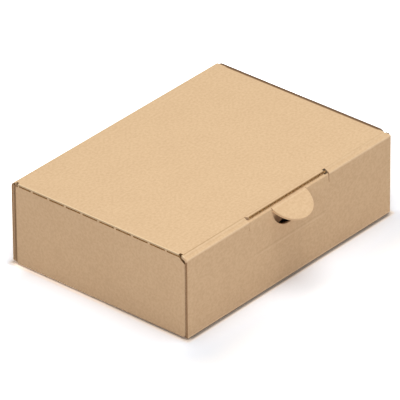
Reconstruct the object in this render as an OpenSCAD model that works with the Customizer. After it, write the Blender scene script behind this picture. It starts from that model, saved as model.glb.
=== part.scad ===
// Closed mailing box of brown corrugated board, folded from one die-cut sheet.
// The sheet is drawn as two solids that meet at the back crease: the tray that
// stands on the table, and the lid that wraps over it and down its front.
// Origin: middle of the footprint, on the table. X runs along the box, the
// front with the thumb tab faces -Y, Z is up. All sizes are millimetres.

/* [Box] */
// outside length, left end to right end
box_l = 362; // [260:1:520]
// outside depth, front to back
box_w = 262; // [180:1:400]
// outside height
box_h = 108; // [84:1:220]
// thickness of the corrugated board
board_t = 3; // [1.5:0.1:4]

/* [Folds] */
// outside radius of the soft fold between back wall and lid
back_fold_r = 6; // [4:0.5:12]
// outside radius of the folds along the bottom
base_fold_r = 4; // [3:0.5:8]
// outside radius of the sharp lid folds
lid_fold_r = 2; // [1:0.25:4]
// how far the bevel strip runs towards the front
strip_run = 8; // [6:0.5:14]
// how far the bevel strip drops on its way
strip_drop = 4; // [2:0.5:8]

/* [Left end crease] */
// distance from one paper bridge to the next
perf_pitch = 25; // [12:1:40]
// length of each paper bridge
perf_bridge = 3.2; // [2:0.2:6]
// height of the open cuts on the outside of the flap
perf_open = 2; // [1:0.1:2.5]
// how far the middle of the cuts lies below the top
perf_drop = 2.8; // [2:0.1:4]
// board left behind each cut
perf_web = 1.3; // [0.4:0.1:2]
// length of the open relief cut at each end of the crease
relief_len = 4; // [3:0.5:8]
// space under the bevel strip's end and the back fold, at the flap's corners
corner_gap = 3.25; // [1:0.25:4]

/* [Front lock] */
// length of the lock slit along the lid's front
slit_len = 136; // [90:1:160]
// how far the flat lip reaches past the crease
lip_reach = 4.5; // [3:0.5:7]
// sideways taper of each end of the lip
lip_taper = 3; // [1:0.5:6]
// how far the two arm cuts run down the front
arm_drop = 12; // [8:0.5:20]
// width of the arm cuts
arm_cut = 0.8; // [0.5:0.1:1.5]
// how far the middle of the front is pushed in at the crease
lock_press = 1; // [0.5:0.1:1.5]
// how far that crease sinks as it is pushed in
lock_sink = 1.2; // [0.5:0.1:2]
// diameter of the half-moon thumb tab
moon_d = 61; // [40:1:80]
// width of the die knife's cut round the tab
moon_cut = 0.6; // [0.2:0.1:1]
// sideways offset of the lock from the middle of the front
lock_shift = -2; // [-10:0.5:10]

/* [Tray tongue] */
// width of the tongue that locks under the lip
tongue_w = 125; // [80:1:150]
// height of the tongue's fold above the table
tongue_fold_z = 54; // [30:1:70]
// angle that the tongue leans back from the front wall
tongue_lean = 3.5; // [2.2:0.1:5]
// width of the finger hole in the tongue
finger_w = 30; // [20:1:34]
// height of the finger hole
finger_h = 15; // [10:1:18]

/* [Ends and flaps] */
// depth of the lid's right flap that tucks inside
tuck_depth = 52; // [30:1:70]
// how far each end of the tuck flap stands in from the lid's ends
tuck_inset = 12; // [8:1:30]
// slope of the tuck flap's ends
tuck_taper = 14; // [4:1:24]
// radius of the right end wall's top corner at the front
end_round = 7; // [2:0.5:7.5]
// length of the glue flaps in the tray's corners
glue_len = 42; // [25:1:70]
// how far the glue flaps stop below the lid
glue_drop = 14; // [6:1:40]

/* [Clearances] */
// space between two layers of board that slide on each other
layer_gap = 0.4; // [0.3:0.1:1]
// space between the lid's right edge and the right end wall
right_gap = 1.5; // [0.8:0.1:3]
// space between the lid's left flap and the back wall
rear_gap = 2.4; // [1:0.1:4]
// height of the lid's free edges above the table
floor_gap = 2; // [0.3:0.1:4]
// open width of the hinge crease
hinge_gap = 0.2; // [0.1:0.05:0.4]
// width of the cuts that free the tongue
tongue_cut = 0.8; // [0.5:0.1:1.5]

/* [Hidden] */
kraft_top = [0.886, 0.757, 0.596];
kraft_side = [0.8, 0.67, 0.52];

xl = -box_l / 2;
xr = box_l / 2;
yf = -box_w / 2;
yb = box_w / 2;
t = board_t;
crease_y = yf + strip_run;
crease_z = box_h - strip_drop;
hinge_y = yb - back_fold_r;
strip_len = norm([strip_run, strip_drop]);
strip_tilt = atan2(strip_drop, strip_run);
strip_dir = [-strip_run, -strip_drop] / strip_len;
// the front wall of the tray, behind the lid's front
wall_y = yf + t + layer_gap;
wall_top = crease_z - t - 0.5;
// the two end walls of the tray
left_x = xl + t + layer_gap;
lid_right = xr - t - right_gap;
left_top = box_h - t - layer_gap;
// the lock
arm_x = slit_len / 2 + lip_taper;
arm_z = crease_z - arm_drop;
press_y = yf + lock_press;
press_z = crease_z - lock_sink;
band_len = strip_len - lip_reach - layer_gap;
band_root = min(band_len - 0.5, lid_fold_r * 0.65);
moon_r = moon_d / 2;
moon_tilt = strip_tilt;
tongue_top = box_h - t - 0.5;
finger_z = crease_z - moon_r - finger_h / 2 + 4;
eps = 0.05;
arc_n = 8;

// Path tools: a folded sheet is a line of corners, each with its own radius.
function unit(v) = v / norm(v);
function side(v) = [-v[1], v[0]];
function flat_list(ll) = [for (l = ll) for (p = l) p];
function shifted(V, d) = [for (i = [0:len(V) - 1])
    let (n0 = i > 0 ? side(unit(V[i] - V[i - 1])) : side(unit(V[1] - V[0])),
         n1 = i < len(V) - 1 ? side(unit(V[i + 1] - V[i])) : n0)
    V[i] + d * (n0 + n1) / (1 + n0 * n1)];
function bent(V, R) = flat_list([for (i = [0:len(V) - 1])
    i == 0 || i == len(V) - 1 ? [V[i]] :
    let (d0 = unit(V[i] - V[i - 1]), d1 = unit(V[i + 1] - V[i]),
         turn = acos(min(1, max(-1, d0 * d1))),
         s = sign(d0[0] * d1[1] - d0[1] * d1[0]),
         p = V[i] - d0 * R[i] * tan(turn / 2),
         c = p + s * side(d0) * R[i], v = p - c)
    [for (k = [0:arc_n]) let (a = s * turn * k / arc_n)
        c + [v[0] * cos(a) - v[1] * sin(a), v[0] * sin(a) + v[1] * cos(a)]]]);
function reversed(V) = [for (i = [len(V) - 1:-1:0]) V[i]];

// Section of a sheet whose outside runs through V with radii R.
// The board lies on the left of the path.
module sheet_section(V, R, thick = t) {
    inner = [for (r = R) max(r - thick, 0.4)];
    polygon(concat(bent(V, R), reversed(bent(shifted(V, thick), inner))));
}

// Draws a Y-Z section along X, from x0 to x1.
module along_x(x0, x1)
    translate([x0, 0, 0]) rotate([90, 0, 90]) linear_extrude(x1 - x0) children();

// Draws an X-Z section along Y, from y0 to y1.
module along_y(y0, y1)
    translate([0, y1, 0]) rotate([90, 0, 0]) linear_extrude(y1 - y0) children();

// Flat box between two corners.
module block(a, b) translate(a) cube(b - a);

// Lid: top panel, bevel strip and front in one bend.
module lid_wrap_section()
    sheet_section(
        [[hinge_y - hinge_gap, box_h], [crease_y, box_h], [yf, crease_z], [yf, floor_gap]],
        [0, lid_fold_r * 4, lid_fold_r, 0]);

// Lid: the front between the arm cuts, pushed in at its crease.
module lock_front_section()
    sheet_section(
        [[press_y, press_z] - strip_dir * band_len, [press_y, press_z], [yf, arm_z], [yf, floor_gap]],
        [0, lid_fold_r, lid_fold_r * 4, 0]);

// Lid: plan of the flat lip, with its two tapered ends.
module lip_plan() {
    tip = crease_y - lip_reach;
    root = crease_y + 3 * lid_fold_r + 1;
    polygon([
        [lock_shift - arm_x, root], [lock_shift - arm_x, crease_y],
        [lock_shift - slit_len / 2, tip], [lock_shift + slit_len / 2, tip],
        [lock_shift + arm_x, crease_y], [lock_shift + arm_x, root]]);
}

// Lid: half-moon tab that stays in the plane of the bevel strip.
module moon_tab()
    translate([lock_shift, press_y, press_z])
        rotate([moon_tilt, 0, 0])
            translate([0, 0, -t]) linear_extrude(t)
                union() {
                    intersection() {
                        circle(r = moon_r - moon_cut, $fn = 96);
                        translate([-moon_r, -moon_r]) square([moon_d, moon_r]);
                    }
                    translate([moon_cut - moon_r, -eps])
                        square([moon_d - 2 * moon_cut, band_len + eps]);
                    // the strip runs on to both sides behind its fold
                    translate([-moon_r - t, band_root])
                        square([moon_d + 2 * t, band_len - band_root]);
                }

// Lid: cuts along the left crease, with paper bridges between them.
module left_crease_cuts() {
    y0 = crease_y + relief_len - eps;
    y1 = hinge_y - relief_len - perf_bridge / 2;
    n = ceil((y1 - y0) / perf_pitch / 2) + 1;
    for (k = [-n:n]) {
        a = max(y0, (k - 1) * perf_pitch + perf_bridge / 2);
        b = min(y1, k * perf_pitch - perf_bridge / 2);
        if (b - a > 1)
            block([xl - 1, a, box_h - perf_drop - perf_open / 2],
                  [xl + t - perf_web, b, box_h - perf_drop + perf_open / 2]);
    }
}

// Lid: slanted right end of the bevel strip, from the top's edge out to the front.
module strip_end_cut()
    translate([0, 0, arm_z]) linear_extrude(box_h - arm_z + 1)
        polygon([
            [lid_right, crease_y + 1], [lid_right, crease_y], [xr, yf + t],
            [xr + 1, yf + t], [xr + 1, crease_y + 1]]);

// Lid: outline of the left flap seen from the end.
module left_flap_plan() {
    front = wall_y - layer_gap + 0.3;
    rear = yb - t - rear_gap;
    c = 3;
    polygon([
        [front + c, floor_gap], [rear - c, floor_gap], [rear, floor_gap + c],
        [rear, box_h - back_fold_r], [hinge_y - relief_len, box_h - t],
        [crease_y + relief_len, box_h - t], [crease_y + 1, box_h - t - corner_gap],
        [front, crease_z - t - corner_gap], [front, floor_gap + c]]);
}

// Lid: left flap with the fold that joins it to the top.
module left_flap() {
    along_x(xl, xl + t) left_flap_plan();
    along_y(crease_y + relief_len, hinge_y - relief_len)
        sheet_section(
            [[xl + 4 * t, box_h], [xl, box_h], [xl, box_h - 4 * t]],
            [0, lid_fold_r, 0]);
}

// Lid: right flap that tucks down inside the end wall.
module right_flap()
    intersection() {
        along_y(crease_y + tuck_inset, hinge_y - tuck_inset)
            sheet_section(
                [[lid_right, box_h - tuck_depth], [lid_right, box_h], [lid_right - 4 * t, box_h]],
                [0, lid_fold_r, 0]);
        along_x(lid_right - 5 * t, lid_right + 1)
            polygon([
                [crease_y + tuck_inset, box_h + 1], [crease_y + tuck_inset, box_h - 2 * t],
                [crease_y + tuck_inset + tuck_taper, box_h - tuck_depth],
                [hinge_y - tuck_inset - tuck_taper, box_h - tuck_depth],
                [hinge_y - tuck_inset, box_h - 2 * t], [hinge_y - tuck_inset, box_h + 1]]);
    }

module lid() color(kraft_top) {
    difference() {
        union() {
            // the wrap on both sides of the lock
            along_x(xl, lock_shift - arm_x) lid_wrap_section();
            along_x(lock_shift + arm_x, xr) lid_wrap_section();
            // the top behind the lock, and its lip
            block([lock_shift - arm_x - eps, crease_y + 3 * lid_fold_r, box_h - t],
                  [lock_shift + arm_x + eps, hinge_y - hinge_gap, box_h]);
            translate([0, 0, box_h - t]) linear_extrude(t) lip_plan();
            // the front under the lock
            difference() {
                along_x(lock_shift - arm_x - eps, lock_shift + arm_x + eps) lock_front_section();
                for (s = [-1, 1])
                    translate([lock_shift + s * (arm_x - arm_cut / 2 + eps), yf, arm_z + box_h / 2])
                        cube([arm_cut + 2 * eps, 6 * t, box_h], center = true);
                // half-moon hole left by the tab
                translate([lock_shift, yf + 3 * t, press_z]) rotate([90, 0, 0])
                    linear_extrude(6 * t) intersection() {
                        circle(r = moon_r, $fn = 96);
                        translate([-moon_r, -moon_r]) square([moon_d, moon_r + 2 * t]);
                    }
            }
            moon_tab();
            left_flap();
            right_flap();
        }
        // the top stops short of the right end wall
        block([lid_right, crease_y + 0.7, box_h - back_fold_r], [xr + 1, yb, box_h + 1]);
        // relief holes at both ends of the left crease
        block([xl - 1, crease_y, box_h - 1.3 * t], [xl + t, crease_y + relief_len, box_h + 1]);
        block([xl - 1, hinge_y - relief_len, box_h - 1.3 * t], [xl + t, yb, box_h + 1]);
        left_crease_cuts();
        strip_end_cut();
    }
}

// Tray: back, bottom and front wall in one bend.
module tray_section()
    sheet_section(
        [[wall_y, wall_top], [wall_y, 0], [yb, 0], [yb, box_h], [hinge_y, box_h]],
        [0, base_fold_r, base_fold_r, back_fold_r, 0]);

// Tray: the back wall's own fold, which runs past the left end wall.
module back_section()
    sheet_section(
        [[yb, base_fold_r], [yb, box_h], [hinge_y, box_h]],
        [0, back_fold_r, 0]);

// Tray: both end walls and the bottom in one bend.
module ends_section()
    sheet_section(
        [[left_x, left_top], [left_x, 0], [xr, 0], [xr, box_h]],
        [0, base_fold_r, base_fold_r, 0]);

// Tray: outline of the end walls seen from the right.
module end_wall_plan(rear, top, drop_r, front_r) {
    front = crease_y + 1.2;
    polygon(concat(
        [[wall_y, 0], [rear, 0], [rear, top - drop_r]],
        [for (k = [1:arc_n]) let (a = 90 * k / arc_n)
            [rear - drop_r + drop_r * cos(a), top - drop_r + drop_r * sin(a)]],
        [for (k = [0:arc_n]) let (a = 90 + 90 * k / arc_n)
            [front + front_r + front_r * cos(a), top - front_r + front_r * sin(a)]],
        [[front, crease_z - t - 1], [wall_y, wall_top - 1]]));
}

// Tray: glue flap of an end wall, stuck flat to the wall beside it.
module glue_flap(x_end, dir, y_face, into) {
    y0 = min(y_face, y_face + into * t);
    along_y(y0, y0 + t)
        polygon([
            [x_end, t / 2], [x_end + dir * (glue_len - 8), t / 2],
            [x_end + dir * glue_len, t + 10], [x_end + dir * glue_len, box_h - glue_drop - 12],
            [x_end + dir * (glue_len - 8), box_h - glue_drop], [x_end, box_h - glue_drop]]);
}

// Tray: tongue cut from the front wall, leaning back behind the lid's slit.
module tongue()
    translate([lock_shift, wall_y, tongue_fold_z])
        rotate([-tongue_lean, 0, 0])
            difference() {
                along_y(0, t) difference() {
                    top = (tongue_top - tongue_fold_z) / cos(tongue_lean);
                    c = 5;
                    polygon([
                        [-tongue_w / 2, -t / 2], [tongue_w / 2, -t / 2], [tongue_w / 2, top - c],
                        [tongue_w / 2 - c, top], [c - tongue_w / 2, top], [-tongue_w / 2, top - c]]);
                    translate([0, finger_z - tongue_fold_z]) {
                        square([finger_w - finger_h, finger_h], center = true);
                        for (s = [-1, 1]) translate([s * (finger_w - finger_h) / 2, 0])
                            circle(d = finger_h, $fn = 40);
                    }
                }
            }

module tray() color(kraft_side) {
    difference() {
        union() {
            along_x(left_x + eps, xr - t + eps) tray_section();
            along_x(xl, left_x + t) back_section();
        }
        // window of the tongue
        block([lock_shift - tongue_w / 2 - tongue_cut, wall_y - 1, tongue_fold_z],
              [lock_shift + tongue_w / 2 + tongue_cut, wall_y + 2 * t, box_h]);
        // the front wall stays low where the lid's front is pushed in
        block([lock_shift - arm_x - layer_gap, wall_y - 1, arm_z],
              [lock_shift + arm_x + layer_gap, wall_y + 2 * t, box_h]);
    }
    tongue();
    intersection() {
        along_y(wall_y, yb - t + eps) ends_section();
        along_x(xl, xr - t - eps) end_wall_plan(yb - t + eps, left_top, 3, 2);
    }
    intersection() {
        along_y(wall_y, yb) ends_section();
        along_x(xr - 2 * t, xr)
            end_wall_plan(yb, box_h, back_fold_r + t, min(end_round, strip_drop + t + 0.5));
    }
    for (f = [[wall_y + t, 1], [yb - t, -1]]) {
        glue_flap(left_x + t / 2, 1, f[0], f[1]);
        glue_flap(xr - t / 2, -1, f[0], f[1]);
    }
}

tray();
lid();
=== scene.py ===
# %% [markdown]
# # A closed mailing box of corrugated board
#
# This lesson dresses a imported CAD model of a brown die-cut mailing box. The
# CAD gives two solids, `tray` and `lid`, that are one folded sheet. Here they
# get what a solid can't have: open flutes and grooves in the cut edges, a web
# of paper in the back crease, and paper that looks like kraft paper.

import math

import bmesh
import bpy
from mathutils import Matrix, Vector
from mathutils.bvhtree import BVHTree


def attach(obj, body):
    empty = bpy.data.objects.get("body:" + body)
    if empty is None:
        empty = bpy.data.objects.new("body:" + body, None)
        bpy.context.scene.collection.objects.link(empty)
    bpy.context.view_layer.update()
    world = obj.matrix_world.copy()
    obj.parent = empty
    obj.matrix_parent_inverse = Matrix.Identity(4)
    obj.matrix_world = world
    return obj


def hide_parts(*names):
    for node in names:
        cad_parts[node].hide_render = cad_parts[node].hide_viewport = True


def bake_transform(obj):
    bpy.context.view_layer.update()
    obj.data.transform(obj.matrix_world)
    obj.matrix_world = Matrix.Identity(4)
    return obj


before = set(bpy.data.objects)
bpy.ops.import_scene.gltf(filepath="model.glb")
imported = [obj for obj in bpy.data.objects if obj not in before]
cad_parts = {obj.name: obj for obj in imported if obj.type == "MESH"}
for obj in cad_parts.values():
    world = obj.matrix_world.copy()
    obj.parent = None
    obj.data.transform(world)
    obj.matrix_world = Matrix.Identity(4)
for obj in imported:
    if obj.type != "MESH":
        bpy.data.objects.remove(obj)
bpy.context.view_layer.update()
MM = 0.001

# %% [markdown]
# ## The sizes that the looks need
#
# The script can't read the CAD source, so the few sizes that it repeats stand
# here once, in millimetres and in the same frame: X along the box, the front
# at -Y, Z up from the table.

# %% Sizes of the board and the box
BOARD = 3.0
LEFT, RIGHT = -181.0, 181.0
FRONT, BACK = -131.0, 131.0
HEIGHT = 108.0
CREASE_Y, CREASE_Z = -123.0, 104.0
LIP_Y = -127.5
HINGE_Y, BACK_RADIUS = 125.0, 6.0
LID_RIGHT, LID_LOW = 176.5, 2.0
FLUTE_PITCH = 6.5
LEFT_MID, RIGHT_MID = LEFT + BOARD / 2, RIGHT - BOARD / 2
FRONT_MID, BACK_MID = FRONT + BOARD / 2, BACK - BOARD / 2
TOP_MID = HEIGHT - BOARD / 2
LINER, FLUTE_WALL = 0.32, 0.28
print("a flute every", FLUTE_PITCH, "mm in board of", BOARD, "mm")

# %% [markdown]
# ## Camera
#
# The photograph was taken from far away with a long lens, so the box's edges
# stay nearly parallel. A camera was fitted to the box's corners: it looks
# along a heading of about 41 degrees and down by about 31 degrees, and leans
# by less than one degree. Its three axes are written as the columns of the
# camera's matrix, which is safer than a chain of rotations.

# %% Camera at the photograph's viewing angle
HEADING, DOWN, LEAN = map(math.radians, (40.54, 30.74, -0.42))
DISTANCE, FOCAL_PX, FRAME_PX = 6.9823, 6087.5, 400
MIDDLE_X, MIDDLE_Y = 202.75, 200.16


def make_camera():
    look = Vector((math.cos(DOWN) * math.cos(HEADING), math.cos(DOWN) * math.sin(HEADING), -math.sin(DOWN)))
    flat_right = Vector((math.sin(HEADING), -math.cos(HEADING), 0))
    flat_up = flat_right.cross(look)
    right = flat_right * math.cos(LEAN) + flat_up * math.sin(LEAN)
    up = flat_up * math.cos(LEAN) - flat_right * math.sin(LEAN)
    data = bpy.data.cameras.new("camera")
    data.sensor_width = 36
    data.lens = FOCAL_PX / FRAME_PX * data.sensor_width
    data.shift_x = (FRAME_PX / 2 - MIDDLE_X) / FRAME_PX
    data.shift_y = (MIDDLE_Y - FRAME_PX / 2) / FRAME_PX
    data.clip_start, data.clip_end = 0.1, 60
    camera = bpy.data.objects.new("camera", data)
    turn = Matrix((right, up, -look)).transposed().to_4x4()
    camera.matrix_world = Matrix.Translation(Vector((0, 0, 0.05)) - look * DISTANCE) @ turn
    bpy.context.scene.collection.objects.link(camera)
    bpy.context.scene.camera = camera
    return camera


camera = make_camera()
print("lens of", round(camera.data.lens), "mm at", DISTANCE, "m")

# %% [markdown]
# ## Light
#
# The photograph has the flat, even light of a product studio: a white sweep,
# one large soft lamp overhead, and no hard shadow. The lamps add up so that a
# matt face that looks up shows the colour that is written in its material.

# %% Soft lamps and the world
WORLD_LEVEL = 0.36
WHITE = (1, 1, 1, 1)


def make_lamp(name, place, aim, size, watts):
    data = bpy.data.lights.new(name, "AREA")
    data.shape = "DISK"
    data.size = size
    data.energy = watts
    lamp = bpy.data.objects.new(name, data)
    lamp.location = place
    lamp.rotation_euler = (Vector(aim) - Vector(place)).to_track_quat("-Z", "Y").to_euler()
    lamp.visible_camera = False
    bpy.context.scene.collection.objects.link(lamp)
    return lamp


top_lamp = make_lamp("top_lamp", (0.0, -0.2, 2.2), (0, 0, 0.05), 1.5, 31)
side_lamp = make_lamp("side_lamp", (-1.9, -1.7, 1.1), (0, 0, 0.05), 1.6, 15)
side_lamp.data.color = (1, 0.945, 0.97)
print("lamps:", top_lamp.name, side_lamp.name)


def make_world():
    """Soft light from all sides, which the camera and mirrors see as plain white."""
    world = bpy.data.worlds.new("world")
    bpy.context.scene.world = world
    world.use_nodes = True
    nodes, wire = world.node_tree.nodes, world.node_tree.links.new
    nodes.clear()
    path = nodes.new("ShaderNodeLightPath")
    seen = nodes.new("ShaderNodeMath")
    seen.operation = "MAXIMUM"
    wire(path.outputs["Is Camera Ray"], seen.inputs[0])
    wire(path.outputs["Is Glossy Ray"], seen.inputs[1])
    pick = nodes.new("ShaderNodeMixShader")
    wire(seen.outputs[0], pick.inputs[0])
    for k, strength in ((1, WORLD_LEVEL), (2, 1)):
        sky = nodes.new("ShaderNodeBackground")
        sky.inputs["Color"].default_value = WHITE
        sky.inputs["Strength"].default_value = strength
        wire(sky.outputs[0], pick.inputs[k])
    out = nodes.new("ShaderNodeOutputWorld")
    wire(pick.outputs[0], out.inputs[0])


make_world()
bpy.context.scene.view_settings.view_transform = "Standard"
print("world level", WORLD_LEVEL)

# %% [markdown]
# ## Materials
#
# Every material is wired by one small class, so that each cell below reads
# like a list of what the paint does. `mix` also serves for plain numbers: a
# grey colour turns back into its value when it is wired to one.

# %% Helpers that wire a material
class Paint:
    """A material under construction: each call adds a node and returns its output."""

    def __init__(self, name):
        self.material = bpy.data.materials.new(name)
        self.material.use_nodes = True
        self.tree = self.material.node_tree
        self.shader = self.tree.nodes["Principled BSDF"]
        self.place = self.tree.nodes.new("ShaderNodeTexCoord").outputs["Object"]
        split = self.tree.nodes.new("ShaderNodeSeparateXYZ")
        self.tree.links.new(self.place, split.inputs[0])
        self.x, self.y, self.z = split.outputs

    def wire(self, value, socket):
        if isinstance(value, bpy.types.NodeSocket):
            self.tree.links.new(value, socket)
        else:
            socket.default_value = value

    def math(self, how, a, b=0.0):
        node = self.tree.nodes.new("ShaderNodeMath")
        node.operation = how
        for socket, value in zip(node.inputs, (a, b)):
            self.wire(value, socket)
        return node.outputs[0]

    def times(self, first, *others):
        """Product of all the values."""
        for value in others:
            first = self.math("MULTIPLY", first, value)
        return first

    def ease(self, value, start, end, low=0.0, high=1.0):
        """Goes softly from low to high while the value goes from start to end."""
        node = self.tree.nodes.new("ShaderNodeMapRange")
        node.interpolation_type = "SMOOTHSTEP"
        for socket, number in zip(node.inputs, (value, start, end, low, high)):
            self.wire(number, socket)
        return node.outputs[0]

    def ramp(self, value, start_mm, end_mm, low=0.0, high=1.0):
        """The same for a coordinate or distance, with start and end in millimetres."""
        return self.ease(value, start_mm * MM, end_mm * MM, low, high)

    def noise(self, size_mm, detail=2.0, stretch=(1, 1, 1)):
        scaled = self.tree.nodes.new("ShaderNodeMapping")
        scaled.inputs["Scale"].default_value = [s / (size_mm * MM) for s in stretch]
        self.tree.links.new(self.place, scaled.inputs["Vector"])
        node = self.tree.nodes.new("ShaderNodeTexNoise")
        node.inputs["Scale"].default_value = 1
        node.inputs["Detail"].default_value = detail
        self.tree.links.new(scaled.outputs[0], node.inputs["Vector"])
        return node.outputs["Fac"]

    def mix(self, amount, first, second):
        node = self.tree.nodes.new("ShaderNodeMix")
        node.data_type = "RGBA"
        self.wire(amount, node.inputs["Factor"])
        self.wire(first, node.inputs[6])
        self.wire(second, node.inputs[7])
        return node.outputs[2]

    def line(self, value, at_mm, half_mm):
        """1 on a line at a coordinate, easing to 0 at half_mm from it."""
        away = self.math("ABSOLUTE", self.math("SUBTRACT", value, at_mm * MM))
        return self.ramp(away, 0, half_mm, 1, 0)

    def between(self, value, low_mm, high_mm, soft_mm=1.5):
        """1 between two coordinates, with soft ends."""
        up = self.ramp(value, low_mm - soft_mm, low_mm)
        down = self.ramp(value, high_mm, high_mm + soft_mm, 1, 0)
        return self.times(up, down)

    def relief(self, height, depth_mm, before=None):
        """Normal of a surface whose height swings by depth_mm, on top of the normal before."""
        node = self.tree.nodes.new("ShaderNodeBump")
        node.inputs["Strength"].default_value = 1
        node.inputs["Distance"].default_value = depth_mm * MM
        self.wire(height, node.inputs["Height"])
        if before is not None:
            self.tree.links.new(before, node.inputs["Normal"])
        return node.outputs["Normal"]


def srgb(r, g, b):
    """A colour as the screen shows it, turned into the linear values that nodes use."""
    ease = lambda c: c / 12.92 if c <= 0.04045 else ((c + 0.055) / 1.055) ** 2.4
    return tuple(ease(v / 255) for v in (r, g, b)) + (1,)


print("paint helpers ready")

# %% [markdown]
# ## Floor
#
# The sweep in the photograph is pure white, and only a pale shadow hugs the
# box, with a thin brown line where board and table meet. The lamps give the
# pale shadow, and painted shadow deepens it. For the camera alone the floor's
# colour changes with its distance from the box: a painted shadow, warm and
# dark at the foot, then a cool grey, then so bright that it shows as white.
# All other light sees a grey floor, which is palest away from the box and
# behind it.
#
# The lid's front and left flap hang 2 mm above the table, and the floor that
# shows in that gap is painted lighter, or the dark line would be too thick. An
# ambient occlusion node finds the floor that a flap covers, so that the same
# place looks natural when the lid is open.

# %% White floor that keeps the lamps' shadow and adds a painted one
FLOOR_HALF, FLOOR_DROP = 9, 0.0001
FOOT_SHADOW_TINT, SHADOW_TINT = (1, 0.86, 0.72, 1), (0.96, 0.99, 1.04, 1)
BOUNCE_NEAR, BOUNCE_FAR = (0.62, 0.59, 0.605, 1), (0.84, 0.81, 0.825, 1)


def grey(value):
    return (value, value, value, 1)


def floor_in_gap(paint, past_x, past_y):
    """Painted light that lifts the floor inside the box's outline, which shows under the flaps."""
    sky = paint.tree.nodes.new("ShaderNodeAmbientOcclusion")
    sky.samples = 16
    sky.inputs["Distance"].default_value = BOARD * MM
    covered = paint.ease(sky.outputs["AO"], 0.35, 0.5, 1, 0)
    at_left = paint.ramp(past_x, -8, -4)
    # painted light on the floor under the flaps
    lift = paint.mix(at_left, grey(3.2), paint.ramp(paint.y, -60, 90, 1.5, 3))
    lift = paint.mix(covered, grey(1.1), lift)
    return paint.times(lift, paint.ramp(paint.math("MAXIMUM", past_x, past_y), -2.2, -0.5, 1, 0))


def floor_level(paint, past_x, past_y, away, before):
    """Painted shadow and light: how bright the camera sees the floor. before is 1 in front of the box and
    behind it, 0 at its ends.
    """
    # painted shadow at the box's foot, darkest in front of it
    front_foot_shadow = paint.ramp(away, 0.4, 4.8, 0.3, 1.05)
    side_foot_shadow = paint.ramp(away, 0, 3, 0.66, 1.2)
    # painted light that pales the foot of the ends towards the back
    pale_foot_light = paint.ramp(away, 0, 3.6, 1.95, 1.07)
    side_foot_shadow = paint.times(side_foot_shadow, paint.mix(paint.ramp(paint.y, -90, 45), WHITE, pale_foot_light))
    level = paint.math("ADD", paint.times(before, front_foot_shadow),
                       paint.times(paint.math("SUBTRACT", 1, before), side_foot_shadow))
    # painted shade from 3 to 36 mm out, then painted light far out so that the floor clips to white
    level = paint.times(level, paint.ramp(away, 3, 36, 1, 0.925), paint.ramp(away, 30, 120, 1, 1.4))
    # painted light in the middle of the front and back, painted shade at their ends, painted light behind
    # the box
    to_ends = paint.ramp(paint.math("ABSOLUTE", paint.x), 30, 185, 1.06, 0.93)
    to_back = paint.ramp(paint.y, 100, 132, 1, 1.5)
    level = paint.times(level, paint.mix(before, WHITE, to_ends), to_back)
    level = paint.math("MAXIMUM", level, floor_in_gap(paint, past_x, past_y))
    # painted light near the box's corners
    corner = paint.ramp(paint.math("MINIMUM", past_x, past_y), -9, 0, 0, 0.7)
    corner = paint.times(corner, paint.ramp(away, 4, 14, 1, 0))
    return paint.math("ADD", level, paint.times(corner, paint.math("SUBTRACT", 1, level)))


def make_sweep():
    """White for the camera apart from the painted shadow at the box's foot, and a pale grey for all other
    light.
    """
    paint = Paint("white_sweep")
    past_x, past_y = (paint.math("SUBTRACT", paint.math("ABSOLUTE", c), half * MM)
                      for c, half in ((paint.x, RIGHT), (paint.y, BACK)))
    outside_x, outside_y = (paint.math("MAXIMUM", c) for c in (past_x, past_y))
    away = paint.math("SQRT", paint.math("ADD", paint.times(outside_x, outside_x),
                                         paint.times(outside_y, outside_y)))
    before = paint.math("DIVIDE", outside_y, paint.math("MAXIMUM", away, 1e-6))
    tint = paint.mix(paint.ramp(away, 0, 8), FOOT_SHADOW_TINT, SHADOW_TINT)
    tint = paint.mix(paint.ramp(away, 25, 60), tint, WHITE)
    scale = paint.tree.nodes.new("ShaderNodeVectorMath")
    scale.operation = "SCALE"
    paint.wire(tint, scale.inputs[0])
    paint.wire(floor_level(paint, past_x, past_y, away, before), scale.inputs["Scale"])
    shown = paint.tree.nodes.new("ShaderNodeBsdfDiffuse")
    paint.wire(scale.outputs[0], shown.inputs["Color"])
    far = paint.math("MAXIMUM", paint.ramp(paint.y, -60, 100), paint.ramp(paint.x, 100, 170))
    far = paint.math("MAXIMUM", paint.times(far, 0.75), paint.ramp(away, 0, 140))
    other = paint.tree.nodes.new("ShaderNodeBsdfDiffuse")
    paint.wire(paint.mix(far, BOUNCE_NEAR, BOUNCE_FAR), other.inputs["Color"])
    path = paint.tree.nodes.new("ShaderNodeLightPath")
    pick = paint.tree.nodes.new("ShaderNodeMixShader")
    paint.wire(path.outputs["Is Camera Ray"], pick.inputs[0])
    paint.wire(other.outputs[0], pick.inputs[1])
    paint.wire(shown.outputs[0], pick.inputs[2])
    paint.wire(pick.outputs[0], paint.tree.nodes["Material Output"].inputs["Surface"])
    paint.tree.nodes.remove(paint.shader)
    return paint.material


def make_floor():
    bm = bmesh.new()
    bmesh.ops.create_grid(bm, x_segments=1, y_segments=1, size=FLOOR_HALF)
    bmesh.ops.translate(bm, verts=bm.verts, vec=(0, 0, -FLOOR_DROP))
    mesh = bpy.data.meshes.new("floor")
    bm.to_mesh(mesh)
    bm.free()
    mesh.materials.append(make_sweep())
    floor = bpy.data.objects.new("floor", mesh)
    bpy.context.scene.collection.objects.link(floor)
    return floor


floor = make_floor()
print("floor of", round(floor.dimensions.x), "m")

# %% [markdown]
# ## Kraft paper
#
# The liner is brown recycled paper. Seen close it is a felt of short fibres
# with darker specks, and its tone drifts in soft clouds. The board under it
# telegraphs through as a faint washboard, one wave for each flute. All of
# this reads Object coordinates, so it stays put on the sheet.

# %% Liner paper
KRAFT = srgb(225, 192, 151)
KRAFT_INSIDE = srgb(221, 189, 150)
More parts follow.
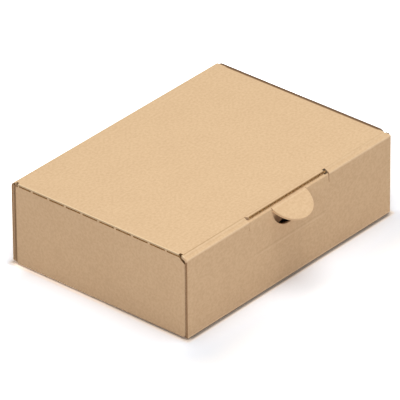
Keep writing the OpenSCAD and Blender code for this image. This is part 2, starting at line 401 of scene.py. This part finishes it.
# The dark and light fibre colours also serve as painted shade and painted highlights at the folds and over
# the tongue.
DARK_FIBRE_AND_SHADE = srgb(168, 128, 88)
LIGHT_FIBRE_AND_HIGHLIGHT = srgb(241, 213, 176)
RIM_HIGHLIGHT, RIGHT_EDGE_SHADE = srgb(252, 224, 182), srgb(148, 116, 84)
LIP_SHADE, NICK_SHADE = srgb(138, 104, 66), srgb(48, 32, 18)
FLAP_SHADE, TAB_SHADE = srgb(138, 106, 74), srgb(118, 88, 62)


def paint_paper(paint, base):
    """Clouds, fibres and specks over a base colour. Returns the colour and a height."""
    cloud = paint.noise(34, 3)
    tone = paint.mix(paint.ease(cloud, 0.25, 0.75, 0, 0.05), base, DARK_FIBRE_AND_SHADE)
    felt = paint.noise(3.0, 4, (0.85, 1, 1))
    tone = paint.mix(paint.ease(felt, 0.35, 0.75, 0, 0.14), tone, DARK_FIBRE_AND_SHADE)
    tone = paint.mix(paint.ease(felt, 0.60, 0.25, 0, 0.14), tone, LIGHT_FIBRE_AND_HIGHLIGHT)
    strands = paint.noise(0.7, 2, (0.5, 1, 1))
    specks = paint.ease(strands, 0.66, 0.74)
    tone = paint.mix(paint.times(specks, 0.35), tone, DARK_FIBRE_AND_SHADE)
    return tone, felt


def finish_paper(paint, tone, felt, washboard, before=None):
    """Connects colour, roughness and relief to the shader."""
    shader = paint.shader
    paint.tree.links.new(tone, shader.inputs["Base Color"])
    paint.tree.links.new(paint.ease(felt, 0.3, 0.7, 0.86, 0.97), shader.inputs["Roughness"])
    shader.inputs["Specular IOR Level"].default_value = 0.22
    normal = paint.relief(felt, 0.035, before)
    wave = paint.math("SINE", paint.times(washboard, 2 * math.pi / (FLUTE_PITCH * MM)))
    normal = paint.relief(wave, 0.006, normal)
    paint.tree.links.new(normal, shader.inputs["Normal"])
    return paint.material


def fold_marks(paint, tone, on_top):
    """Painted shade along crease 1, a painted highlight and a painted dark line on the bevel strip, and a
    painted highlight along crease 2.
    """
    # painted shade along crease 1
    crease_shade = paint.line(paint.y, CREASE_Y - 0.4, 1)
    crease_shade = paint.times(crease_shade, on_top, paint.ramp(paint.x, -165, 20, 0.55, 0.12))
    tone = paint.mix(crease_shade, tone, DARK_FIBRE_AND_SHADE)
    # painted highlight and painted shade on the bevel strip
    on_strip = paint.times(paint.ramp(paint.z, 101, 103), paint.ramp(paint.x, -80, -60, 1, 0.4))
    tone = paint.mix(paint.times(on_strip, paint.line(paint.y, -125, 1.1), 0.28), tone, LIGHT_FIBRE_AND_HIGHLIGHT)
    tone = paint.mix(paint.times(on_strip, paint.line(paint.y, -126.9, 1), 0.09), tone, DARK_FIBRE_AND_SHADE)
    # painted highlight along crease 2
    crease_highlight = paint.between(paint.z, CREASE_Z - 1.2, CREASE_Z + 0.5, 1)
    crease_highlight = paint.times(crease_highlight, paint.ramp(paint.y, FRONT, FRONT + 1.6, 1, 0), 0.5)
    return paint.mix(crease_highlight, tone, LIGHT_FIBRE_AND_HIGHLIGHT)


def tongue_light_and_shade(paint, tone, on_front):
    """Painted highlight and painted shade where the lock tongue behind the front shows through: a light line
    with a dark one over it.
    """
    along = paint.times(paint.between(paint.x, -63, 62), on_front)
    lower = paint.times(along, paint.line(paint.z, 54.2, 1.9))
    side = paint.times(paint.between(paint.z, 55, 92), paint.line(paint.x, 63, 1.2), on_front, 0.6)
    tone = paint.mix(paint.times(paint.math("MAXIMUM", lower, side), 0.28), tone, LIGHT_FIBRE_AND_HIGHLIGHT)
    return paint.mix(paint.times(along, paint.line(paint.z, 57.4, 1.5), 0.15), tone, DARK_FIBRE_AND_SHADE)


def edge_marks(paint, tone, on_top, on_front):
    """Painted highlights on the left fold and the front's low edge, and painted shade along the lid's right
    edge, at the lip, in the nick and at the flap's back end.
    """
    # painted highlights on the left fold and the front's low edge
    left_rim = paint.times(paint.ramp(paint.x, -179.4, -179.9), paint.ramp(paint.z, 105.9, 106.3))
    low_rim = paint.times(on_front, paint.ramp(paint.z, 4.4, 2.6, 0, 0.9))
    tone = paint.mix(paint.times(paint.math("MAXIMUM", left_rim, low_rim), 0.6), tone, RIM_HIGHLIGHT)
    # painted shade along the lid's right edge, for the dark gap and raw edge beside it
    right_edge_shade = paint.times(paint.ramp(paint.x, 174.9, 175.7), paint.between(paint.y, -115, 112, 3), on_top)
    tone = paint.mix(right_edge_shade, tone, RIGHT_EDGE_SHADE)
    lip = paint.times(paint.line(paint.y, LIP_Y + 0.35, 1.2), paint.between(paint.x, -68, 64))
    tone = paint.mix(paint.times(lip, paint.ramp(paint.z, 104, 105, 0, 0.82)), tone, LIP_SHADE)
    nick = paint.times(paint.between(paint.x, 64, 68.4, 0.9), paint.between(paint.y, -128.7, -124.4, 1))
    tone = paint.mix(paint.times(nick, paint.ramp(paint.z, 103, 104, 0, 0.95)), tone, NICK_SHADE)
    flap_end = paint.times(paint.ramp(paint.x, -180.4, -180.9), paint.ramp(paint.y, 123.6, 125, 0, 0.8))
    return paint.mix(flap_end, tone, FLAP_SHADE)


def make_lid_paper():
    """Kraft with painted highlights and painted shade at its folds and edges and over the lock tongue. Its
    relief also rounds the top edges a little.
    """
    paint = Paint("lid_paper")
    tone, felt = paint_paper(paint, KRAFT)
    on_top = paint.ramp(paint.z, 105.5, 106.5)
    on_front = paint.ramp(paint.y, FRONT + 0.4, FRONT + 1, 1, 0)
    tone = fold_marks(paint, tone, on_top)
    tone = tongue_light_and_shade(paint, tone, on_front)
    tone = edge_marks(paint, tone, on_top, on_front)
    rounded = paint.relief(paint.ramp(paint.z, 105.6, 108.4, 1, 0), 2.2)
    return finish_paper(paint, tone, felt, paint.x, rounded)


def make_tray_paper():
    """Kraft with painted shade round the finger hole, where the half-moon tab shades the tongue."""
    paint = Paint("tray_paper")
    tone, felt = paint_paper(paint, KRAFT)
    beside, over = (paint.math("DIVIDE", paint.math("SUBTRACT", c, middle * MM), reach * MM)
                    for c, middle, reach in ((paint.x, -8, 25), (paint.z, 78, 16)))
    spread = paint.math("ADD", paint.times(beside, beside), paint.times(over, over))
    # painted shade round the finger hole
    tab_shade_mask = paint.times(paint.ease(spread, 0.3, 1.1, 1, 0), paint.ramp(paint.y, -124, -126, 0, 0.9))
    tone = paint.mix(tab_shade_mask, tone, TAB_SHADE)
    return finish_paper(paint, tone, felt, paint.x)


def make_inside_paper():
    paint = Paint("inside_paper")
    tone, felt = paint_paper(paint, KRAFT_INSIDE)
    return finish_paper(paint, tone, felt, paint.x)


lid_paper, tray_paper, inside_paper = make_lid_paper(), make_tray_paper(), make_inside_paper()
print("papers:", lid_paper.name, tray_paper.name, inside_paper.name)

# %% [markdown]
# ## Cut edges and the flutes
#
# Where the die knife cut the sheet the edge is darker and greyer than the
# liner, because the cut fibres drink the light and the fluting paper between
# the liners is a cheaper, browner one. The raw edge beside the lid is darker
# still, with painted shade for the narrow gap that it stands in. The cuts of
# the slit and the perforation are painted lighter and yellower, to lift the
# deep shade inside them, and the small notches at the corners are nearly
# closed and carry painted shade.

# %% Cut edge and fluting paper
def make_raw_paper(name, dark, light, grain_mm=0.9, shine=0.1, rough_mm=0.0, liner_past=None):
    """Coarse paper without a liner. Further than liner_past mm from the box's middle it has one."""
    paint = Paint(name)
    grain = paint.noise(grain_mm, 3)
    tone = paint.mix(paint.ease(grain, 0.3, 0.7), dark, light)
    if liner_past:
        from_middle = paint.math("ABSOLUTE", paint.y)
        tone = paint.mix(paint.ramp(from_middle, liner_past, liner_past + 0.3), tone, KRAFT)
    paint.wire(tone, paint.shader.inputs["Base Color"])
    paint.shader.inputs["Roughness"].default_value = 0.95
    paint.shader.inputs["Specular IOR Level"].default_value = shine
    if rough_mm:
        paint.wire(paint.relief(grain, rough_mm), paint.shader.inputs["Normal"])
    return paint.material


cut_edge = make_raw_paper("cut_edge", srgb(176, 144, 112), srgb(205, 172, 136), 0.8, 0.15, 0.12, BACK - 1)
fluting = make_raw_paper("fluting", srgb(150, 116, 84), srgb(172, 137, 101), 1.1, 0.15, 0.08)
# painted shade: the right wall's top edge in the gap beside the lid
shaded_gap_edge = make_raw_paper("shaded_gap_edge", srgb(108, 84, 62), srgb(130, 102, 76))
# painted light: lighter and yellower, to lift the deep shade inside the slit and the perforation
slit_edge = make_raw_paper("slit_edge", srgb(192, 155, 104), srgb(208, 171, 119))
# painted shade for the faces in the corner notches
pit_shade = make_raw_paper("pit_shade", srgb(118, 90, 56), srgb(136, 104, 68))
print("edges:", cut_edge.name, fluting.name, shaded_gap_edge.name, slit_edge.name, pit_shade.name)

# %% [markdown]
# ## Open flutes
#
# The flutes run from back to front over the lid, and up the front and back
# walls. An edge that crosses them shows the wave of the fluting with a
# hollow on each side. Modelling the wave itself would mean rebuilding the
# board, so the hollows are made instead, as cutters that are taken out of it.
# One Geometry Nodes tree makes a hollow and places a copy on every point of
# an edge, each second one turned over.

# %% Geometry Nodes tree that makes a row of hollows
def socket_id(tree, name):
    """Identifier of a tree's input, which a modifier needs instead of the name."""
    return next(i.identifier for i in tree.interface.items_tree if i.name == name and i.in_out == "INPUT")


def make_flute_tree():
    tree = bpy.data.node_groups.new("open_flutes", "GeometryNodeTree")
    face = tree.interface
    face.new_socket("Geometry", in_out="INPUT", socket_type="NodeSocketGeometry")
    for name, kind, value in (("Pitch", "Float", 0.0065), ("Hollow height", "Float", 0.0022),
                              ("Wall", "Float", 0.0003), ("Depth", "Float", 0.006),
                              ("Turn", "Vector", (0, 0, 0)), ("Paper", "Material", None)):
        socket = face.new_socket(name, in_out="INPUT", socket_type="NodeSocket" + kind)
        if value is not None:
            socket.default_value = value
    face.new_socket("Geometry", in_out="OUTPUT", socket_type="NodeSocketGeometry")
    nodes, wire = tree.nodes, tree.links.new
    given, result = nodes.new("NodeGroupInput"), nodes.new("NodeGroupOutput")

    def math_node(how, *values):
        node = nodes.new("ShaderNodeMath")
        node.operation = how
        for socket, value in zip(node.inputs, values):
            if isinstance(value, bpy.types.NodeSocket):
                wire(value, socket)
            else:
                socket.default_value = value
        return node.outputs[0]

    # a flat strip, two vertices high, whose lower side follows one wave
    half = math_node("SUBTRACT", math_node("MULTIPLY", given.outputs["Pitch"], 0.5), given.outputs["Wall"])
    width = math_node("MULTIPLY", half, 2)
    strip = nodes.new("GeometryNodeMeshGrid")
    wire(width, strip.inputs["Size X"])
    strip.inputs["Size Y"].default_value = 1
    strip.inputs["Vertices X"].default_value = 9
    strip.inputs["Vertices Y"].default_value = 2
    position = nodes.new("GeometryNodeInputPosition")
    split = nodes.new("ShaderNodeSeparateXYZ")
    wire(position.outputs[0], split.inputs[0])
    share = math_node("DIVIDE", split.outputs[0], half)
    turn = math_node("COSINE", math_node("MULTIPLY", share, math.pi))
    wave = math_node("MULTIPLY", math_node("ADD", turn, 1), 0.5)
    full = math_node("ADD", math_node("MULTIPLY", wave, 0.97), 0.03)
    drop = math_node("MULTIPLY", full, given.outputs["Hollow height"])
    roof = math_node("MULTIPLY", given.outputs["Hollow height"], 0.5)
    under = math_node("SUBTRACT", roof, drop)
    is_roof = math_node("GREATER_THAN", split.outputs[1], 0)
    height = math_node("ADD", math_node("MULTIPLY", is_roof, math_node("SUBTRACT", roof, under)), under)
    join = nodes.new("ShaderNodeCombineXYZ")
    wire(split.outputs[0], join.inputs[0])
    wire(height, join.inputs[1])
    shape = nodes.new("GeometryNodeSetPosition")
    wire(strip.outputs["Mesh"], shape.inputs["Geometry"])
    wire(join.outputs[0], shape.inputs["Position"])

    # the strip becomes a closed bar that reaches out of the edge and into the board
    bar = nodes.new("GeometryNodeExtrudeMesh")
    bar.mode = "FACES"
    wire(shape.outputs[0], bar.inputs["Mesh"])
    way = nodes.new("ShaderNodeCombineXYZ")
    way.inputs[2].default_value = 1
    wire(way.outputs[0], bar.inputs["Offset"])
    wire(math_node("ADD", given.outputs["Depth"], 0.001), bar.inputs["Offset Scale"])
    bar.inputs["Individual"].default_value = False
    back = nodes.new("GeometryNodeFlipFaces")
    wire(shape.outputs[0], back.inputs["Mesh"])
    closed = nodes.new("GeometryNodeJoinGeometry")
    wire(bar.outputs["Mesh"], closed.inputs[0])
    wire(back.outputs[0], closed.inputs[0])
    weld = nodes.new("GeometryNodeMergeByDistance")
    weld.inputs["Distance"].default_value = 1e-6
    wire(closed.outputs[0], weld.inputs["Geometry"])
    seat = nodes.new("GeometryNodeSetPosition")
    wire(weld.outputs[0], seat.inputs["Geometry"])
    seat.inputs["Offset"].default_value = (0, 0, -0.001)

    # one copy on each point, every second one turned over
    index = nodes.new("GeometryNodeInputIndex")
    odd = math_node("MODULO", index.outputs[0], 2)
    spin = nodes.new("ShaderNodeCombineXYZ")
    wire(math_node("MULTIPLY", odd, math.pi), spin.inputs[2])
    flip = nodes.new("FunctionNodeEulerToRotation")
    wire(spin.outputs[0], flip.inputs[0])
    base = nodes.new("FunctionNodeEulerToRotation")
    wire(given.outputs["Turn"], base.inputs[0])
    both = nodes.new("FunctionNodeRotateRotation")
    both.rotation_space = "LOCAL"
    wire(base.outputs[0], both.inputs[0])
    wire(flip.outputs[0], both.inputs[1])
    row = nodes.new("GeometryNodeInstanceOnPoints")
    wire(given.outputs["Geometry"], row.inputs["Points"])
    wire(seat.outputs[0], row.inputs["Instance"])
    wire(both.outputs[0], row.inputs["Rotation"])
    real = nodes.new("GeometryNodeRealizeInstances")
    wire(row.outputs[0], real.inputs[0])
    coat = nodes.new("GeometryNodeSetMaterial")
    wire(real.outputs[0], coat.inputs["Geometry"])
    wire(given.outputs["Paper"], coat.inputs["Material"])
    wire(coat.outputs[0], result.inputs[0])
    return tree


flute_tree = make_flute_tree()
print("tree", flute_tree.name, "with", len(flute_tree.nodes), "nodes")

# %% Rows of hollows along the cut edges
def mesh_of(item):
    """Mesh that an object's modifiers make of it."""
    bpy.context.view_layer.update()
    seen = item.evaluated_get(bpy.context.evaluated_depsgraph_get())
    mesh = bpy.data.meshes.new_from_object(seen)
    item.modifiers.clear()
    return mesh


def run_tree(tree, item, values):
    """Mesh that a tree makes of an item, which isn't needed any more."""
    tool = item.modifiers.new(tree.name, "NODES")
    tool.node_group = tree
    for name, value in values.items():
        tool[socket_id(tree, name)] = value
    mesh = mesh_of(item)
    bpy.data.objects.remove(item)
    return mesh


def point_mesh(name, points):
    mesh = bpy.data.meshes.new(name)
    mesh.from_pydata([Vector(p) * MM for p in points], [], [])
    item = bpy.data.objects.new(name, mesh)
    bpy.context.scene.collection.objects.link(item)
    return item


def flute_row(start, end, inward, across, depth=6.0):
    """Cutter for one edge, from start to end in mm. inward points into the board."""
    start, end = Vector(start), Vector(end)
    along = (end - start).normalized()
    length = (end - start).length
    half = FLUTE_PITCH / 2
    count = int(length // half)
    first = (length - (count - 1) * half) / 2
    item = point_mesh("row", [start + along * (first + k * half) for k in range(count)])
    inward, across = Vector(inward).normalized(), Vector(across).normalized()
    side = across.cross(inward)
    turn = Matrix((side, across, inward)).transposed().to_euler()
    return run_tree(flute_tree, item, {
        "Pitch": FLUTE_PITCH * MM, "Hollow height": (BOARD - 2 * LINER) * MM,
        "Wall": FLUTE_WALL * MM, "Depth": depth * MM, "Turn": tuple(turn), "Paper": fluting})


TONGUE_LEAN = math.radians(3.5)
tongue_down = Vector((0, -math.sin(TONGUE_LEAN), -math.cos(TONGUE_LEAN)))
tongue_out = Vector((0, math.cos(TONGUE_LEAN), -math.sin(TONGUE_LEAN)))
tongue_top = Vector((0, -127.6, 54)) + tongue_out * BOARD / 2 - tongue_down * (50.5 / math.cos(TONGUE_LEAN))
X, Y, Z = Vector((1, 0, 0)), Vector((0, 1, 0)), Vector((0, 0, 1))

# lower edge of the lid's front, edge of the lip, back and front edge of the left flap
lid_rows = [
    flute_row((-180, FRONT_MID, LID_LOW), (180, FRONT_MID, LID_LOW), Z, Y),
    flute_row((-69, LIP_Y, TOP_MID), (65, LIP_Y, TOP_MID), Y, Z, 2),
    flute_row((LEFT_MID, 125.6, 6), (LEFT_MID, 125.6, 98), -Y, X),
    flute_row((LEFT_MID, -127.7, 6), (LEFT_MID, -127.7, 96), Y, X),
]
print("rows of the lid:", [len(m.polygons) for m in lid_rows])

# top of the front wall on both sides of the tongue, top of the tongue, then the
# ends of the four glue flaps, and the back edge of the right end wall
tray_rows = [
    flute_row((-177, -126.1, 100.5), (-74, -126.1, 100.5), -Z, Y),
    flute_row((70, -126.1, 100.5), (180, -126.1, 100.5), -Z, Y),
    flute_row(tongue_top - 59 * X, tongue_top + 55 * X, tongue_down, tongue_out),
    *[flute_row((x, y, 14), (x, y, 81), inward, Y)
      for x, inward in ((-132.6, -X), (137.5, X)) for y in (-123.1, 126.5)],
    flute_row((RIGHT_MID, BACK, 8), (RIGHT_MID, BACK, 96), -Y, X),
]
print("rows of the tray:", [len(m.polygons) for m in tray_rows])

# %% [markdown]
# ## Grooves along the flutes
#
# An edge that was cut along a flute shows no wave. The knife opened one
# flute from end to end, so there is a groove between the two liners. It
# follows the sheet round its folds, so a second tree sweeps a small
# rectangle along a path.

# %% Geometry Nodes tree that sweeps a groove
def make_groove_tree():
    tree = bpy.data.node_groups.new("edge_groove", "GeometryNodeTree")
    face = tree.interface
    face.new_socket("Geometry", in_out="INPUT", socket_type="NodeSocketGeometry")
    for name, kind, value in (("Width", "Float", 0.0014), ("Depth", "Float", 0.003),
                              ("Paper", "Material", None)):
        socket = face.new_socket(name, in_out="INPUT", socket_type="NodeSocket" + kind)
        if value is not None:
            socket.default_value = value
    face.new_socket("Geometry", in_out="OUTPUT", socket_type="NodeSocketGeometry")
    nodes, wire = tree.nodes, tree.links.new
    given, result = nodes.new("NodeGroupInput"), nodes.new("NodeGroupOutput")
    line = nodes.new("GeometryNodeMeshToCurve")
    wire(given.outputs["Geometry"], line.inputs[0])
    profile = nodes.new("GeometryNodeCurvePrimitiveQuadrilateral")
    double = nodes.new("ShaderNodeMath")
    double.operation = "MULTIPLY"
    double.inputs[1].default_value = 2
    wire(given.outputs["Depth"], double.inputs[0])
    wire(given.outputs["Width"], profile.inputs["Width"])
    wire(double.outputs[0], profile.inputs["Height"])
    level = nodes.new("GeometryNodeSetCurveNormal")
    level.mode = "FREE"
    way = nodes.new("GeometryNodeInputNamedAttribute")
    way.data_type = "FLOAT_VECTOR"
    way.inputs["Name"].default_value = "inward"
    wire(line.outputs[0], level.inputs["Curve"])
    wire(way.outputs[0], level.inputs["Normal"])
    sweep = nodes.new("GeometryNodeCurveToMesh")
    sweep.inputs["Fill Caps"].default_value = True
    wire(level.outputs[0], sweep.inputs["Curve"])
    wire(profile.outputs[0], sweep.inputs["Profile Curve"])
    real = nodes.new("GeometryNodeRealizeInstances")
    wire(sweep.outputs[0], real.inputs[0])
    coat = nodes.new("GeometryNodeSetMaterial")
    wire(real.outputs[0], coat.inputs["Geometry"])
    wire(given.outputs["Paper"], coat.inputs["Material"])
    wire(coat.outputs[0], result.inputs[0])
    return tree


groove_tree = make_groove_tree()
print("tree", groove_tree.name, "with", len(groove_tree.nodes), "nodes")

# %% Grooves in the edges that run along the flutes
def groove(path, width=1.3, depth=2.6):
    """Cutter that follows the middle of an edge. Each step is a point in mm and the way into the board."""
    mesh = bpy.data.meshes.new("groove")
    mesh.from_pydata([Vector(p) * MM for p, _ in path], [(k, k + 1) for k in range(len(path) - 1)], [])
    way = mesh.attributes.new("inward", "FLOAT_VECTOR", "POINT")
    way.data.foreach_set("vector", [c for _, inward in path for c in inward])
    item = bpy.data.objects.new("groove", mesh)
    bpy.context.scene.collection.objects.link(item)
    return run_tree(groove_tree, item, {"Width": width * MM, "Depth": depth * MM, "Paper": fluting})


def level(points, inward):
    """Steps that all point the same way into the board."""
    return [(p, inward) for p in points]


def arc(x, y, z, radius, start, end):
    """Steps round an edge's corner, seen from the end of the box."""
    turns = [math.radians(start + (end - start) * k / 6) for k in range(7)]
    ways = [(math.cos(a), math.sin(a)) for a in turns]
    return [((x, y + radius * c, z + radius * s), (0, -c, -s)) for c, s in ways]


left_wrap = level([(LEFT, FRONT_MID, 0), (LEFT, FRONT_MID, 101)], (1, 0, 0))
right_wrap = level([(RIGHT, FRONT_MID, 0), (RIGHT, FRONT_MID, 102.9),
                    (RIGHT - 0.4, -128.2, 104), (LID_RIGHT, -123, 106.4)], (-1, 0, 0))
right_wall = [((RIGHT_MID, -121.8, 96), (0, 1, 0)), *arc(RIGHT_MID, -114.8, 101, 7, 180, 90),
              *arc(RIGHT_MID, 122, 99, 9, 90, 20)]
left_wall = level([(-176.1, -119, 104.6), (-176.1, 123, 104.6)], (0, 0, -1))
back_fold = arc(LEFT, HINGE_Y, HEIGHT - BACK_RADIUS, BACK_RADIUS - BOARD / 2, 0, 90)
back_end = level([(LEFT, BACK_MID, 3), *[point for point, _ in back_fold]], (1, 0, 0))
lid_grooves = [groove(left_wrap, 0.9, 1.6), groove(right_wrap)]
tray_grooves = [groove(right_wall, 1.6, 4), groove(left_wall), groove(back_end, 0.5, 0.5)]
print("grooves:", len(lid_grooves), "in the lid and", len(tray_grooves), "in the tray")

# %% [markdown]
# ## The two parts of the sheet
#
# Each CAD mesh comes as loose triangles. A copy is welded, the hollows and
# grooves are taken out of it, and then each face gets its paper. A face is a
# cut edge if it lies in a flat region no wider than the board and the board
# behind it isn't just one board thick. All others lie on a liner. Round the
# slit, the perforation and the corner notches this test can't tell, so two
# small functions name the papers there by their place.

# %% Weld, cut and colour
WELD_M, SKIN_M = 2e-6, 2e-5
SAME_WAY = 0.99999
EDGE_ROUND = 2.0


def join_meshes(name, meshes):
    """One object of fluting paper from several cutters."""
    bm = bmesh.new()
    for mesh in meshes:
        bm.from_mesh(mesh)
    bmesh.ops.recalc_face_normals(bm, faces=bm.faces)
    whole = bpy.data.meshes.new(name)
    bm.to_mesh(whole)
    bm.free()
    whole.materials.append(fluting)
    item = bpy.data.objects.new(name, whole)
    bpy.context.scene.collection.objects.link(item)
    return item


def lid_special(c, normal):
    """Paper of the lid's faces that the thickness test can't tell."""
    on_flap = abs(c.x - LEFT) < 0.06 and (c.y > -127.8 or c.z > 101.4)
    reach = math.hypot(c.x - LEFT - EDGE_ROUND, c.z - HEIGHT + EDGE_ROUND)
    on_round = c.z > HEIGHT - 2.1 and c.x < LEFT + EDGE_ROUND and abs(reach - EDGE_ROUND) < 0.15
    if on_flap or on_round:
        return lid_paper
    if c.x < LEFT + EDGE_ROUND and 104.1 < c.z < 106.3 and -119 < c.y < 120.9:
        return slit_edge
    # painted shade in the corner notches
    if c.x < LEFT + BOARD + 0.1 and c.z > 97 and (c.y > 120.9 or c.y < -118.5) and c.y > -127.7:
        return pit_shade
    if -69.5 < c.x < 65.5 and -128.2 < c.y < -121 and 105.05 < c.z < 107.95:
        return slit_edge
    return None


def tray_special(c, normal):
    """Paper of the tray's faces that the thickness test can't tell."""
    # painted shade on the right wall's top edge, in the gap beside the lid
    if c.x > 177.8 and c.z > 97 and normal.z > 0.2:
        return shaded_gap_edge
    # painted shade in the corner notches
    if c.x < -173 and c.z > 97 and (c.y > 119 or c.y < -117) and c.y < 127:
        return pit_shade
    if -63 < c.x < 62 and c.y < -118 and c.z > 100:
        return slit_edge
    return None


def face_widths(mesh):
    """Mean width in mm of the flat region that each face belongs to."""
    root = list(range(len(mesh.polygons)))

    def top(k):
        while root[k] != k:
            root[k] = root[root[k]]
            k = root[k]
        return k

    users = {}
    for face in mesh.polygons:
        for key in face.edge_keys:
            users.setdefault(key, []).append(face.index)
    for both in users.values():
        if len(both) == 2:
            a, b = (mesh.polygons[k] for k in both)
            if a.normal.dot(b.normal) > SAME_WAY and abs((a.center - b.center).dot(a.normal)) < SKIN_M:
                root[top(a.index)] = top(b.index)
    area, rim = {}, {}
    for face in mesh.polygons:
        area[top(face.index)] = area.get(top(face.index), 0) + face.area
    for (a, b), both in users.items():
        length = (mesh.vertices[a].co - mesh.vertices[b].co).length
        regions = [top(k) for k in both]
        if len(set(regions)) != 1 or len(both) == 1:
            for k in regions:
                rim[k] = rim.get(k, 0) + length
    return [2 * area[top(k)] / max(rim.get(top(k), 0), 1e-9) / MM for k in range(len(root))]


def lay_papers(mesh, solid, outside, special):
    """Gives each face its paper. The solid is the board before anything was cut out of it."""
    names = [m.name for m in mesh.materials]
    middle = Vector((0, 0, HEIGHT / 2)) * MM
    for face, width in zip(mesh.polygons, face_widths(mesh)):
        face.use_smooth = False
        paper = special(face.center / MM, face.normal)
        if paper is None:
            if names[face.material_index] == fluting.name:
                continue
            hit = solid.ray_cast(face.center - face.normal * SKIN_M, -face.normal)
            depth = math.inf if hit[0] is None else hit[3] / MM
            if width < BOARD + 0.5 and not BOARD - 0.6 < depth < BOARD + 1.3:
                paper = cut_edge
            elif face.normal.dot(face.center - middle) < 0:
                paper = inside_paper
            else:
                paper = outside
        face.material_index = names.index(paper.name)


def dress(name, node, cutters, outside, special):
    """Board of a CAD node with its cutters taken out and its papers laid on."""
    bm = bmesh.new()
    bm.from_mesh(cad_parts[node].data)
    bmesh.ops.remove_doubles(bm, verts=bm.verts, dist=WELD_M)
    solid = BVHTree.FromBMesh(bm)
    mesh = bpy.data.meshes.new(name)
    bm.to_mesh(mesh)
    bm.free()
    for paper in (outside, inside_paper, cut_edge, fluting, shaded_gap_edge, slit_edge, pit_shade):
        mesh.materials.append(paper)
    board = bpy.data.objects.new(name, mesh)
    bpy.context.scene.collection.objects.link(board)
    knife = join_meshes(name + "_knife", cutters)
    cut = board.modifiers.new("cut", "BOOLEAN")
    cut.operation, cut.solver, cut.object = "DIFFERENCE", "MANIFOLD", knife
    cut.material_mode = "TRANSFER"
    board.data = mesh_of(board)
    bpy.data.objects.remove(knife)
    lay_papers(board.data, solid, outside, special)
    return board


lid_board = dress("lid_board", "lid", lid_rows + lid_grooves, lid_paper, lid_special)
tray_board = dress("tray_board", "tray", tray_rows + tray_grooves, tray_paper, tray_special)
for board, node in ((lid_board, "lid"), (tray_board, "tray")):
    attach(board, node)
    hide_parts(node)
    print(board.name, "has", len(board.data.polygons), "faces")

# %% [markdown]
# ## The back crease
#
# The lid turns about a line on the outside of the sheet. The paper there
# joins both parts, so a thin web fills the crease, in slices across it.

# %% Web in the back crease
def make_crease():
    """Web as thick as the board and a trace more, in thin slices across the crease."""
    left, right = LEFT + 3.1, LID_RIGHT - 0.1
    top, low = HEIGHT + 0.02, HEIGHT - BOARD - 0.02
    y_tray, y_lid = HINGE_Y + 0.5, HINGE_Y - 0.7
    slices = 26
    bm = bmesh.new()
    rings = []
    for k in range(slices + 1):
        y = y_tray + (y_lid - y_tray) * k / slices
        corners = ((left, y, top), (left, y, low), (right, y, low), (right, y, top))
        rings.append([bm.verts.new(Vector(p) * MM) for p in corners])
    for a, b in zip(rings, rings[1:]):
        for k in range(4):
            bm.faces.new((a[k], a[(k + 1) % 4], b[(k + 1) % 4], b[k]))
    bm.faces.new(rings[0])
    bm.faces.new(reversed(rings[-1]))
    bmesh.ops.recalc_face_normals(bm, faces=bm.faces)
    mesh = bpy.data.meshes.new("crease_web")
    bm.to_mesh(mesh)
    bm.free()
    mesh.materials.append(lid_paper)
    web = bpy.data.objects.new("crease_web", mesh)
    bpy.context.scene.collection.objects.link(web)
    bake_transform(web)
    return web


crease_web = make_crease()
print("crease web with", len(crease_web.data.polygons), "faces")
